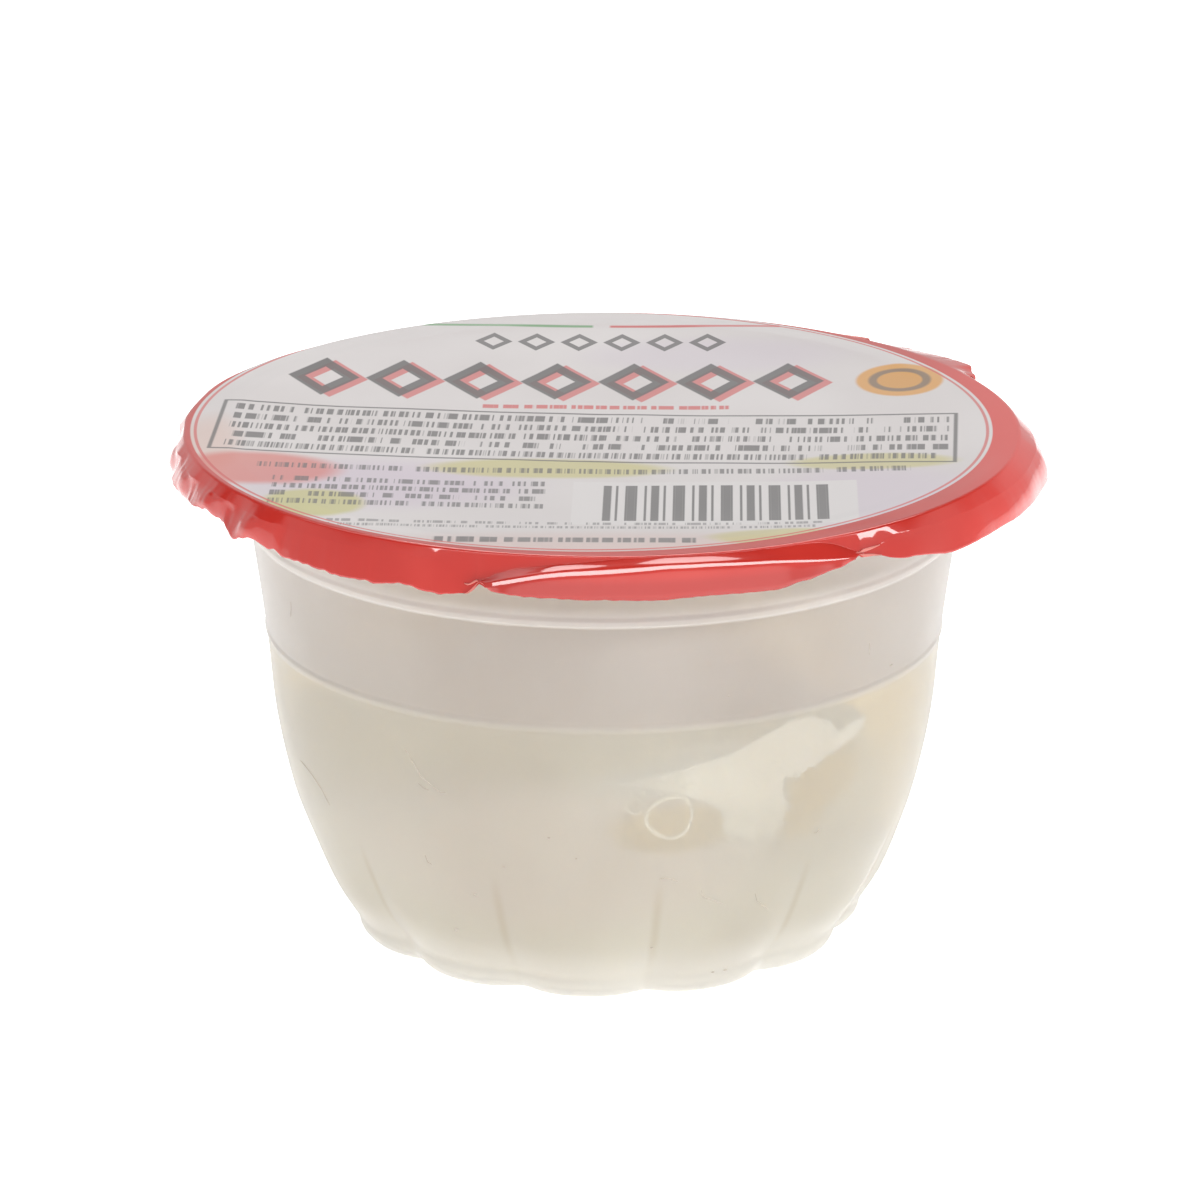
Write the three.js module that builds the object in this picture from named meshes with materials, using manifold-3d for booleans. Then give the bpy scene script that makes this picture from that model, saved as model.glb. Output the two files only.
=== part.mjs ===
// Sealed single-serve cup of burrata: a thin translucent cup with twelve soft lobes at its foot, the
// cheese resting in its whey, and a heat-sealed film lid whose rim is bent down over the flange.
// Millimetres, +Z up, origin at the centre of the foot. Angles are turned from the front (-Y) towards +X.

import * as THREE from 'three';
import { mergeVertices } from 'three/addons/utils/BufferGeometryUtils.js';
import Module from 'manifold-3d';

// ---- Driving dimensions ----

const wall = 0.8;              // cup wall and floor
const gap = 0.3;               // clearance between touching pieces
const degree = Math.PI / 180;

const flangeRadius = 46.2;
const flangeTop = 57.3;
const flangeThickness = 1.0;
const flangeChamfer = 0.5;

// Outer wall of the cup, as [height, radius], from just above the foot's fillet to under the flange.
const footFillet = 3.0;
const wallStations = [
  [3, 29.4], [7, 31.8], [12, 33.75], [18, 35.6], [26, 37.2], [35.1, 38.1], [47.6, 39.8], [56.3, 41.4],
];
const curvePoints = 120;         // along the smooth curve through the stations
const wallSteps = 8;             // profile points between the foot and the ledge
const lipChamfer = 0.4;          // at the mouth's inner edge
// Rounded inner corner at the floor, as [in from the wall, above the floor].
const floorCorner = [[0, 2.6], [0.9, 0.8], [3, 0]];
const cupSegments = 72;
const baseRecessRadius = 20.5;
const baseRecessDepth = 0.8;

const beadHeight = 47.6;       // upper stacking line
const beadWidth = 1.3;
const ledgeHeight = 35.1;      // lower stacking line, level with the whey
const ledgeWidth = 0.9;
const ribRelief = 0.2;
const ribSlope = 0.3;

const lobeCount = 12;
const firstGroove = 10 * degree;
const grooveDepth = 1.8;
const grooveTop = 17;
const grooveSoftness = 0.12;

const wheyLevel = 35.1;

// Burrata: a slumped ball, resting towards the front left, with one fold that reaches the wall at the
// front right, just under the whey's surface.
const cheeseCentre = [-3.5, -5.2, 18.5];
const cheeseRadii = [27.5, 26.3, 18.0];
const foldAngle = 32 * degree;
const foldLift = 0.55;         // of the ball's half height
const foldReach = 10;
const foldWidth = 22 * degree;
const foldTall = 0.24;
const cheeseSides = [40, 20];  // round and up
const sideWave = [3, 1.2, 0.03];        // count round, phase, share of the radius
const twistWave = [5, 4, 0.02];         // count round, twist with height, share of the radius

const filmThickness = 0.3;
const filmTop = flangeTop + gap + filmThickness;
const filmDish = 0.9;          // sag of the film over the mouth
const sealRadius = 42.0;       // inner edge of the sealed rim
const bendRadius = 45.4;       // where the film starts to bend down
const faceRings = [0, 18, 30, 38, sealRadius, bendRadius];
const bendDrop = 0.9;          // height of the rounded bend
const bendMiddle = [0.15, 0.2]; // a point of the bend, past the flange and below the top
const bendThinning = 0.05;     // keeps the inner bend inside the outer one
const filmSegments = 96;
const skirtShares = [0, 0.3, 0.65, 1];

// Skirt of the film, every 15 degrees from the front: drop below the top, and flare past the flange.
const skirtDrops = [
  4.3, 4.2, 3.3, 3.8, 4.5, 4.5, 4.5, 4.4, 4.0, 3.8, 4.0, 4.2,
  4.3, 4.0, 4.0, 3.8, 3.3, 3.3, 3.8, 3.8, 3.6, 4.3, 4.7, 4.1,
];
const skirtFlares = [
  1.3, 1.3, 1.3, 1.6, 2.0, 2.5, 2.9, 2.2, 1.5, 1.3, 1.0, 1.0,
  1.2, 1.0, 1.0, 1.5, 2.1, 2.4, 2.3, 2.1, 1.8, 1.4, 1.2, 1.3,
];
const crimpDepth = 0.3;
const crimpCounts = [17, 29];  // waves round the rim

// Flap at the back right that stands out nearly flat, with a corner.
const tabAngle = 123.75 * degree;
const tabReach = 1.7;
const tabRise = 3.2;           // how much less the flap drops than the skirt
const tabHalfWidths = [9 * degree, 30 * degree];

// ---- Small helpers ----

// Smooth value at an angle, from values spaced evenly round the circle.
function around(values, angle) {
  const turn = ((angle / (2 * Math.PI)) % 1 + 1) % 1 * values.length;
  const index = Math.floor(turn);
  const part = turn - index;
  const ease = part * part * (3 - 2 * part);
  return values[index] * (1 - ease) + values[(index + 1) % values.length] * ease;
}

// Turned solid about +Z from a [radius, height] profile that starts and ends on the axis.
function turned(profile, segments) {
  const points = profile.map(([radius, height]) => new THREE.Vector2(radius, height));
  const geometry = new THREE.LatheGeometry(points, segments);
  geometry.rotateX(Math.PI / 2);
  return geometry;
}

// Moves each vertex of a turned solid: shift(angle, radius, height, index) gives its new radius and height.
function reshape(geometry, profileLength, shift) {
  const position = geometry.attributes.position;
  for (let i = 0; i < position.count; i += 1) {
    const x = position.getX(i);
    const y = position.getY(i);
    const radius = Math.hypot(x, y);
    const angle = Math.atan2(x, -y);
    const [newRadius, newHeight] = shift(angle, radius, position.getZ(i), i % profileLength);
    if (radius > 1e-6) position.setXY(i, x * newRadius / radius, y * newRadius / radius);
    position.setZ(i, newHeight);
  }
  return welded(geometry);
}

// Position-only geometry with shared vertices merged.
function welded(geometry) {
  geometry.deleteAttribute('normal');
  geometry.deleteAttribute('uv');
  return mergeVertices(geometry, 1e-4);
}

// ---- Cup ----

const stationPoints = wallStations.map(([height, radius]) => new THREE.Vector2(radius, height));
const wallPoints = new THREE.SplineCurve(stationPoints).getPoints(curvePoints);

// Outer radius of the lobes' crests at a height.
function crestRadius(height) {
  if (height < footFillet) {
    const drop = footFillet - height;
    return wallPoints[0].x - footFillet + Math.sqrt(footFillet ** 2 - Math.min(drop, footFillet) ** 2);
  }
  const next = wallPoints.findIndex((point) => point.y >= height);
  if (next < 0) return wallPoints[wallPoints.length - 1].x;
  if (next === 0) return wallPoints[0].x;
  const low = wallPoints[next - 1];
  const high = wallPoints[next];
  return low.x + (high.x - low.x) * (height - low.y) / (high.y - low.y);
}

// How far a groove between two lobes cuts in, at an angle and height.
function grooveCut(angle, height) {
  const crest = Math.sqrt(Math.sin((lobeCount / 2) * (angle - firstGroove)) ** 2 + grooveSoftness ** 2);
  const rounded = (crest - grooveSoftness) / (Math.sqrt(1 + grooveSoftness ** 2) - grooveSoftness);
  const fade = Math.max(0, 1 - Math.max(height, 0) / grooveTop) ** 1.5;
  return grooveDepth * fade * (1 - rounded) ** 1.3;
}

function outerRadius(angle, height) {
  return crestRadius(height) - grooveCut(angle, height);
}

// A small outward rib, as four profile points.
function rib(height, width) {
  return [
    [crestRadius(height), height],
    [crestRadius(height) + ribRelief, height + ribSlope],
    [crestRadius(height + width) + ribRelief, height + width - ribSlope],
    [crestRadius(height + width), height + width],
  ];
}

function spread(from, to, count) {
  return Array.from({ length: count }, (_, i) => from + (to - from) * (i + 1) / (count + 1));
}

// The cup's inner face from the mouth down to the axis, or a path kept inside it by an inset.
function innerPath(inset, top = wallStations.length) {
  const walls = wallStations.slice(1, top).map(([height]) => [crestRadius(height) - wall - inset, height]);
  const foot = wallStations[0][1] - wall - inset;
  const floor = baseRecessDepth + wall + inset;
  const corner = floorCorner.map(([inward, above]) => [foot - inward, floor + above]);
  return [...walls.reverse(), ...corner, [0, floor]];
}

// Share of the groove's depth that a point at this radius takes: none over the flat middle of the base.
function grooveShare(radius) {
  const flatRim = baseRecessRadius + 1;
  return THREE.MathUtils.clamp((radius - flatRim) / (crestRadius(0) - flatRim), 0, 1);
}

function cupProfile() {
  const footRadius = crestRadius(0);
  const flangeUnder = flangeTop - flangeThickness;
  const fillet = [20, 45, 70].map((turn) => [
    footRadius + footFillet * Math.sin(turn * degree),
    footFillet * (1 - Math.cos(turn * degree)),
  ]);
  const climb = (from, to, count) => spread(from, to, count).map((height) => [crestRadius(height), height]);
  return [
    [0, baseRecessDepth],
    [baseRecessRadius, baseRecessDepth],
    [baseRecessRadius + 1, 0],
    [footRadius, 0],
    ...fillet,
    ...climb(footFillet, ledgeHeight, wallSteps),
    ...rib(ledgeHeight, ledgeWidth),
    ...climb(ledgeHeight + ledgeWidth, beadHeight, 1),
    ...rib(beadHeight, beadWidth),
    [crestRadius(flangeUnder), flangeUnder],
    [flangeRadius - flangeChamfer, flangeUnder],
    [flangeRadius, flangeUnder + flangeChamfer],
    [flangeRadius, flangeTop - flangeChamfer],
    [flangeRadius - flangeChamfer, flangeTop],
    [crestRadius(flangeUnder) - wall + lipChamfer, flangeTop],
    ...innerPath(0),
  ];
}

function makeCup() {
  const profile = cupProfile();
  return reshape(turned(profile, cupSegments), profile.length, (angle, radius, height) => (
    [radius - grooveCut(angle, height) * grooveShare(radius), height]
  ));
}

// ---- Burrata ----

// The grown size is used to cut its place out of the whey.
function makeCheese(grow) {
  const geometry = new THREE.SphereGeometry(1, ...cheeseSides);
  geometry.rotateX(Math.PI / 2);
  const position = geometry.attributes.position;
  const [centreX, centreY, centreZ] = cheeseCentre;
  const direction = new THREE.Vector3();
  for (let i = 0; i < position.count; i += 1) {
    direction.fromBufferAttribute(position, i).normalize();
    const turn = Math.atan2(direction.x, -direction.y);
    const side = sideWave[2] * Math.sin(sideWave[0] * turn + sideWave[1]) * (1 - direction.z ** 2);
    const twist = twistWave[2] * Math.sin(twistWave[0] * turn + twistWave[1] * direction.z);
    const folds = 1 + side + twist;
    const across = (turn - foldAngle) / foldWidth;
    const above = (direction.z - foldLift) / foldTall;
    const bulge = foldReach * Math.exp(-(across ** 2 + above ** 2) / 2);
    const x = centreX + direction.x * (cheeseRadii[0] * folds + bulge + grow);
    const y = centreY + direction.y * (cheeseRadii[1] * folds + bulge + grow);
    const z = centreZ + direction.z * (cheeseRadii[2] * folds + grow);
    const height = Math.max(z, baseRecessDepth + wall + gap - grow);
    const reach = Math.hypot(x, y);
    const angle = Math.atan2(x, -y);
    const limit = outerRadius(angle, Math.max(height - 1, 0)) - wall - gap + grow;
    const keep = Math.min(1, limit / Math.max(reach, 1e-6));
    position.setXYZ(i, x * keep, y * keep, height);
  }
  return welded(geometry);
}

// ---- Whey ----

function makeWhey() {
  const belowLevel = wallStations.findIndex(([height]) => height === wheyLevel) + 1;
  const profile = [[0, wheyLevel], ...innerPath(gap, belowLevel)].reverse();
  return reshape(turned(profile, cupSegments), profile.length, (angle, radius, height) => (
    [radius - grooveCut(angle, height) * grooveShare(radius), height]
  ));
}

function solidOf(wasm, geometry) {
  return new wasm.Manifold(new wasm.Mesh({
    numProp: 3,
    vertProperties: new Float32Array(geometry.attributes.position.array),
    triVerts: new Uint32Array(geometry.index.array),
  }));
}

function geometryOf(solid) {
  const mesh = solid.getMesh();
  const geometry = new THREE.BufferGeometry();
  geometry.setAttribute('position', new THREE.BufferAttribute(new Float32Array(mesh.vertProperties), 3));
  geometry.setIndex(new THREE.BufferAttribute(new Uint32Array(mesh.triVerts), 1));
  return geometry;
}

// ---- Film lid ----

// 0 away from the flap, 1 at its corner.
function tabShare(angle) {
  const turn = Math.atan2(Math.sin(angle - tabAngle), Math.cos(angle - tabAngle));
  const halfWidth = turn < 0 ? tabHalfWidths[0] : tabHalfWidths[1];
  return Math.max(0, 1 - Math.abs(turn) / halfWidth);
}

function makeFilm() {
  const dish = (radius) => -filmDish * Math.max(0, 1 - (radius / sealRadius) ** 2);
  const skirtRadius = flangeRadius + gap + filmThickness;
  const skirtTop = filmTop - bendDrop;
  const face = faceRings.map((radius) => [radius, filmTop + dish(radius)]);
  const upper = [...face, [flangeRadius + bendMiddle[0], filmTop - bendMiddle[1]]];
  const lower = upper.map(([radius, height]) => [Math.max(0, radius - bendThinning), height - filmThickness]);
  const outside = [...upper, ...skirtShares.map(() => [skirtRadius, skirtTop])];
  const inside = [...lower, ...skirtShares.map(() => [skirtRadius - filmThickness, skirtTop])];
  const profile = [...inside, ...outside.reverse()];

  const shares = [...upper.map(() => 0), ...skirtShares];
  const profileShares = [...shares, ...[...shares].reverse()];
  return reshape(turned(profile, filmSegments), profile.length, (angle, radius, height, index) => {
    const share = profileShares[index];
    const tab = tabShare(angle);
    const flat = Math.min(1, 2 * tab);
    const under = index < inside.length ? filmThickness * flat * Math.min(1, share / skirtShares[1]) : 0;
    const crimp = crimpDepth * (Math.sin(crimpCounts[0] * angle) + Math.sin(crimpCounts[1] * angle)) / 2;
    const flare = around(skirtFlares, angle) * share * (2 - share);
    const drop = around(skirtDrops, angle) - bendDrop - tabRise * flat;
    return [radius + flare + (crimp + tabReach * tab) * share, height - drop * share - under];
  });
}

// ---- Scene graph ----

function finish(color, roughness, opacity = 1) {
  const transparent = opacity < 1;
  return new THREE.MeshStandardMaterial({ color, roughness, metalness: 0, opacity, transparent });
}

const plastic = finish(0xd8d2c8, 0.45, 0.55);
const cream = finish(0xf4efe2, 0.55);
const straw = finish(0xe3dcc0, 0.2, 0.6);
const redFilm = finish(0xd8423a, 0.25);

const wasm = await Module();
wasm.setup();

function named(name, geometry, material) {
  geometry.computeVertexNormals();
  const mesh = new THREE.Mesh(geometry, material);
  mesh.name = name;
  return mesh;
}

const wheySolid = solidOf(wasm, makeWhey()).subtract(solidOf(wasm, makeCheese(gap)));

const cupOfBurrata = new THREE.Group();
cupOfBurrata.add(named('cup', makeCup(), plastic));
cupOfBurrata.add(named('burrata', makeCheese(0), cream));
cupOfBurrata.add(named('whey', geometryOf(wheySolid), straw));
cupOfBurrata.add(named('lid_film', makeFilm(), redFilm));

export default cupOfBurrata;
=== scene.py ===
from functools import partialmethod
import math

import bpy
import numpy as np
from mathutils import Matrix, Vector


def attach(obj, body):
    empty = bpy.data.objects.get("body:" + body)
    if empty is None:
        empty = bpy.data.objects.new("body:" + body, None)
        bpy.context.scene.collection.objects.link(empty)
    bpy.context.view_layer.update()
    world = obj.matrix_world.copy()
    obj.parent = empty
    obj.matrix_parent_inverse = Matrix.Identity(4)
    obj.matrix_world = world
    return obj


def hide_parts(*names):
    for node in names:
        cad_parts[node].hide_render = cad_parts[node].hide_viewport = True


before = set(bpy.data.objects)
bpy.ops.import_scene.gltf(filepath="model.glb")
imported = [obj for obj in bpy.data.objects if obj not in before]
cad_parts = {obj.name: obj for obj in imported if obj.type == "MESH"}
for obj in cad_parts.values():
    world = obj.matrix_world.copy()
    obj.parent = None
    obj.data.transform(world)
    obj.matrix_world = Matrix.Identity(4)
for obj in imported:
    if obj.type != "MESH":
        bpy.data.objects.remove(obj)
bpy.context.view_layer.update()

# Sealed single-serve cup of burrata. Sizes are in millimetres and become metres in each mesh. Angles
# are turned from the front (-Y) towards +X.
MM = 0.001

# ---- Sizes shared with the solids ----

WALL = 0.8
FLANGE_RADIUS = 46.2
FLANGE_TOP = 57.5
FLANGE_THICKNESS = 1.2
FOOT_FILLET = 3.0
WALL_STATIONS = (
    (3, 29.4), (7, 31.8), (12, 33.75), (18, 35.6), (26, 37.2), (35.1, 38.1), (47.6, 39.8), (56.3, 41.4),
)
BASE_RECESS_RADIUS = 20.5
BASE_RECESS_DEPTH = 0.8
BEAD_HEIGHT = 47.6
BEAD_WIDTH = 1.3
LEDGE_HEIGHT = 35.1
LEDGE_WIDTH = 1.1
RIB_RELIEF = 0.22
LEDGE_RELIEF = 0.14
LOBE_COUNT = 12
FIRST_GROOVE = math.radians(10)
CREST_ANGLE = math.radians(27)  # near a lobe's crest, where hardly any groove cuts in
GROOVE_DEPTH = 1.8
GROOVE_TOP = 17.0
GROOVE_SOFTNESS = 0.12

WHEY_LEVEL = 35.1
WHEY_INTO_WALL = 0.3  # the whey reaches just into the wall, so no air gap shows
MENISCUS = 0.2

CHEESE_CENTRE = (-3.5, -5.2, 18.5)
CHEESE_RADII = (27.5, 26.3, 18.0)
FOLD_ANGLE = math.radians(32)
FOLD_LIFT = 0.55
FOLD_REACH = 10.0
FOLD_WIDTH = math.radians(22)
FOLD_TALL = 0.24
CHEESE_FLOOR = 1.9
CHEESE_GAP = 0.06  # least whey between the cheese's mass and the wall
FOLD_INTO_WALL = 0.54  # the fold that rests on the wall reaches just into it

FILM_TOP = 57.9
FILM_THICKNESS = 0.22
FILM_DISH = 0.9
SEAL_RADIUS = 42.0

CHEESE_ROWS = 230
CUP_SEGMENTS = 360
FILM_SEGMENTS = 900


# ---- Small helpers ----

def smooth(low, high, value):
    """0 below low, 1 above high, smooth between."""
    share = np.clip((value - low) / (high - low), 0.0, 1.0)
    return share * share * (3.0 - 2.0 * share)


def turn_from(degrees, centre):
    """Turn from a centre, between -180 and 180 degrees."""
    return (degrees - centre + 180.0) % 360.0 - 180.0


def around(table, angle):
    """Smooth value at an angle in degrees from (degrees, value) pairs given round the circle."""
    degrees, values = np.array(table, float).T
    degrees = np.concatenate([degrees - 360, degrees, degrees + 360])
    values = np.tile(values, 3)
    turn = turn_from(angle, 0.0)
    index = np.searchsorted(degrees, turn, side="right") - 1
    part = (turn - degrees[index]) / (degrees[index + 1] - degrees[index])
    ease = part * part * (3.0 - 2.0 * part)
    return values[index] * (1.0 - ease) + values[index + 1] * ease


def ripple(angle, waves):
    """Sum of sine waves round the circle, from (count, amplitude, phase) rows."""
    return sum(size * np.sin(count * angle + phase) for count, size, phase in waves)


def new_object(name, vertices, faces, *materials):
    """Smooth mesh object from points in millimetres."""
    mesh = bpy.data.meshes.new(name)
    mesh.from_pydata((np.asarray(vertices, float) * MM).tolist(), [], faces)
    mesh.validate()
    for polygon in mesh.polygons:
        polygon.use_smooth = True
    for material in materials:
        mesh.materials.append(material)
    item = bpy.data.objects.new(name, mesh)
    bpy.context.scene.collection.objects.link(item)
    return item


def ring_faces(rows, segments):
    """Quads between rings that follow each other, all with the same number of segments."""
    index = np.arange(rows * segments).reshape(rows, segments)
    here = index[:-1]
    above = index[1:]
    quads = np.stack([here, np.roll(here, -1, 1), np.roll(above, -1, 1), above], -1)
    return quads.reshape(-1, 4).tolist()


def turned_mesh(radius, height, angle):
    """Closed points and faces from grids of radius and height, whose first and last rings are poles."""
    rows, segments = radius.shape
    vertices = np.stack([radius * np.sin(angle), -radius * np.cos(angle), height], -1).reshape(-1, 3)
    first_pole = vertices[:segments].mean(0)
    last_pole = vertices[-segments:].mean(0)
    vertices = np.vstack([vertices, first_pole, last_pole])
    faces = ring_faces(rows, segments)
    count = rows * segments
    for i in range(segments):
        j = (i + 1) % segments
        faces.append([j, i, count])
        faces.append([count - segments + i, count - segments + j, count + 1])
    return vertices, faces


# ---- Shape of the cup ----

def spline_points():
    """Heights and radii along a smooth curve through the wall's stations."""
    stations = np.array(WALL_STATIONS, float)
    last = len(stations) - 1
    points = []
    for t in np.linspace(0, last, 400):
        i = min(int(t), last - 1)
        w = t - i
        p0, p1, p2, p3 = stations[[max(i - 1, 0), i, i + 1, min(i + 2, last)]]
        v0 = (p2 - p0) * 0.5
        v1 = (p3 - p1) * 0.5
        cubic = (2 * p1 - 2 * p2 + v0 + v1) * w ** 3 + (-3 * p1 + 3 * p2 - 2 * v0 - v1) * w ** 2
        points.append(cubic + v0 * w + p1)
    return np.array(points).T


CURVE_HEIGHTS, CURVE_RADII = spline_points()


def crest_radius(height):
    """Outer radius of the lobes' crests at a height."""
    height = np.asarray(height, float)
    drop = np.clip(FOOT_FILLET - height, 0, FOOT_FILLET)
    foot = CURVE_RADII[0] - FOOT_FILLET + np.sqrt(FOOT_FILLET ** 2 - drop ** 2)
    return np.where(height < FOOT_FILLET, foot, np.interp(height, CURVE_HEIGHTS, CURVE_RADII))


FOOT_RADIUS = float(crest_radius(0))


def groove_cut(angle, height):
    """How far a groove between two lobes cuts in."""
    crest = np.sqrt(np.sin(LOBE_COUNT / 2 * (angle - FIRST_GROOVE)) ** 2 + GROOVE_SOFTNESS ** 2)
    full = math.sqrt(1 + GROOVE_SOFTNESS ** 2) - GROOVE_SOFTNESS
    rounded = np.clip((crest - GROOVE_SOFTNESS) / full, 0, 1)
    fade = np.clip(1 - np.maximum(height, 0) / GROOVE_TOP, 0, 1) ** 1.5
    return GROOVE_DEPTH * fade * (1 - rounded) ** 1.3


def groove_share(radius):
    """None of the groove over the flat middle of the base, all of it at the foot."""
    flat_rim = BASE_RECESS_RADIUS + 1
    return np.clip((radius - flat_rim) / (FOOT_RADIUS - flat_rim), 0, 1)


def rib(height, start, width, relief, soft):
    """Soft outward rib whose lower edge is the crisper one."""
    rise = smooth(start - soft, start + soft, height)
    fall = 1 - smooth(start + width * 0.45, start + width, height)
    return relief * rise * fall


def outer_radius(angle, height):
    """Outer face of the wall."""
    bead = rib(height, BEAD_HEIGHT, BEAD_WIDTH, RIB_RELIEF, 0.18)
    ledge = rib(height, LEDGE_HEIGHT, LEDGE_WIDTH, LEDGE_RELIEF, 0.45)
    return crest_radius(height) + bead + ledge - groove_cut(angle, height)


def inner_radius(angle, height):
    """Inner face of the wall, rounded where it meets the floor."""
    floor = BASE_RECESS_DEPTH + WALL
    corner = 3.0
    above = np.clip(height - floor, 0, corner)
    rounding = corner - np.sqrt(corner ** 2 - (corner - above) ** 2)
    return crest_radius(np.maximum(height, FOOT_FILLET)) - WALL - rounding * 0.8 - groove_cut(angle, height)


def cup_profile():
    """Radius and height of the cup's crests from the middle of the base, out, up, in and down."""
    points = [(0.01, BASE_RECESS_DEPTH), (8, BASE_RECESS_DEPTH), (16, BASE_RECESS_DEPTH)]
    points += [(BASE_RECESS_RADIUS, BASE_RECESS_DEPTH), (BASE_RECESS_RADIUS + 0.5, 0.35)]
    points += [(BASE_RECESS_RADIUS + 1, 0), (BASE_RECESS_RADIUS + 2.5, 0), (FOOT_RADIUS, 0)]
    for turn in np.radians(np.arange(12, 90, 12)):
        radius = FOOT_RADIUS + FOOT_FILLET * math.sin(turn)
        points.append((radius, FOOT_FILLET * (1 - math.cos(turn))))
    over_ledge = LEDGE_HEIGHT + LEDGE_WIDTH
    over_bead = BEAD_HEIGHT + BEAD_WIDTH
    spans = (
        (3.0, LEDGE_HEIGHT - 0.4, 1.0), (LEDGE_HEIGHT - 0.3, over_ledge + 0.1, 0.12),
        (over_ledge + 1, BEAD_HEIGHT - 0.5, 1.2), (BEAD_HEIGHT - 0.3, over_bead + 0.1, 0.12),
        (over_bead + 1, 55.4, 1.2),
    )
    heights = np.concatenate([np.arange(*span) for span in spans])
    points += [(float(outer_radius(CREST_ANGLE, h)), h) for h in heights]
    under = FLANGE_TOP - FLANGE_THICKNESS
    edge = FLANGE_RADIUS
    neck = float(crest_radius(under))
    points += [(neck + 0.1, under - 0.35), (neck + 0.5, under), (44, under), (edge - 0.4, under)]
    points += [(edge - 0.1, under + 0.15), (edge, under + 0.5), (edge, FLANGE_TOP - 0.5)]
    points += [(edge - 0.15, FLANGE_TOP - 0.12), (edge - 0.5, FLANGE_TOP), (44, FLANGE_TOP)]
    points += [(neck - 0.1, FLANGE_TOP), (neck - 0.55, FLANGE_TOP - 0.2)]
    inside_start = len(points)
    points += [(neck - WALL, FLANGE_TOP - 0.8)]
    floor = BASE_RECESS_DEPTH + WALL
    inside = list(np.arange(55.2, floor + 3, -1.2))
    inside += [floor + rise for rise in (3, 2, 1.2, 0.6, 0.2)]
    points += [(float(inner_radius(CREST_ANGLE, h)), h) for h in inside]
    rim = points[-1][0]
    points += [(rim - 1.2, floor), (rim - 4, floor), (16, floor), (8, floor), (0.01, floor)]
    return np.array(points), inside_start


CUP_ANGLES = np.linspace(0, 2 * math.pi, CUP_SEGMENTS, endpoint=False)[None, :]


def rings(values):
    """Grid with a ring of the cup's segments for each value."""
    return np.repeat(np.asarray(values, float)[:, None], CUP_SEGMENTS, 1)


def make_cup(*materials):
    """Cup with the materials of its outside, its dry inside and its wet inside."""
    profile, inside_start = cup_profile()
    radius, height = rings(profile[:, 0]), rings(profile[:, 1])
    radius = radius - groove_cut(CUP_ANGLES, height) * groove_share(radius)
    vertices, faces = turned_mesh(radius, height, CUP_ANGLES)
    cup = new_object("frosted_cup", vertices, faces, *materials)
    first = inside_start * CUP_SEGMENTS
    last = (len(profile) - 1) * CUP_SEGMENTS
    for polygon in cup.data.polygons:
        if first <= polygon.index < last or polygon.vertices[-1] == len(vertices) - 1:
            polygon.material_index = 1 if polygon.center.z > WHEY_LEVEL * MM else 2
    return cup


# ---- Whey ----

def make_whey(material):
    """Whey up to its level, its side and floor just inside the wall's thickness."""
    floor = BASE_RECESS_DEPTH + WALL - WHEY_INTO_WALL
    heights = np.concatenate([[0, 0.3, 0.9, 1.7, 2.6], np.arange(3.6, WHEY_LEVEL - floor - 0.4, 1.4)]) + floor
    height = rings(np.append(heights, [WHEY_LEVEL + MENISCUS * 0.6, WHEY_LEVEL + MENISCUS]))
    side = inner_radius(CUP_ANGLES, height + WHEY_INTO_WALL) + WHEY_INTO_WALL
    bottom = rings([0.01, 8, 16, 22])
    steps = np.array([0.0, 0.35, 0.9, 1.8, 3.0, 8, 16, 26, 34])
    surface = np.vstack([side[-1] - WHEY_INTO_WALL - 0.1 - rings(steps), rings([0.01])])
    lift = MENISCUS * np.exp(-np.append(steps, 40) / 1.1)
    all_height = np.vstack([np.full_like(bottom, floor), height, rings(WHEY_LEVEL + lift)])
    vertices, faces = turned_mesh(np.vstack([bottom, side, surface]), all_height, CUP_ANGLES)
    return new_object("whey_liquid", vertices, faces, material)


# ---- Burrata ----

# Top edge of the cheese that lies close to the wall, by degrees from the front.
MASS_TOPS = (
    (-150, 8), (-110, 10), (-90, 15), (-70, 19), (-50, 22), (-29, 26), (-18, 27.3), (0, 28.5), (6, 29.6),
    (13, 31), (20, 31.5), (27, 26), (33, 18), (40, 15.5), (60, 14), (85, 12), (110, 8), (180, 8),
)
# Ragged outline of the fold that touches the wall, in degrees and height.
FOLD_OUTLINE = (
    (2, 28.9), (9.3, 29.8), (15.9, 30.9), (22.2, 31.8), (28.2, 33.4), (32.7, 34.5), (37.5, 34.2),
    (41.1, 33.2), (43, 31.6), (45.2, 32), (48, 32.4), (50.3, 31.9), (48.9, 30.6), (45.5, 29.8),
    (42.4, 28.9), (38.5, 28.1), (34.7, 27.3), (31.8, 27.2), (32.6, 26.3), (32.2, 25.4), (34.2, 24.4),
    (33.3, 22.4), (33, 21.2), (30.5, 20.5), (28, 20.1), (25.6, 20.9), (22.6, 20.7), (20.8, 22.6),
    (20.4, 24.6), (17, 26.2), (13, 26.9), (8, 27.6),
)
FOLD_RADIUS = 36.5  # wall radius at which the outline's degrees become millimetres
FOLD_FRAY = 0.34  # how far its edge wanders from the outline
VALLEY = (13.5, 23.3, 9.5, 2.5, 4.5)  # degrees, height, half sizes, depth


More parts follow.
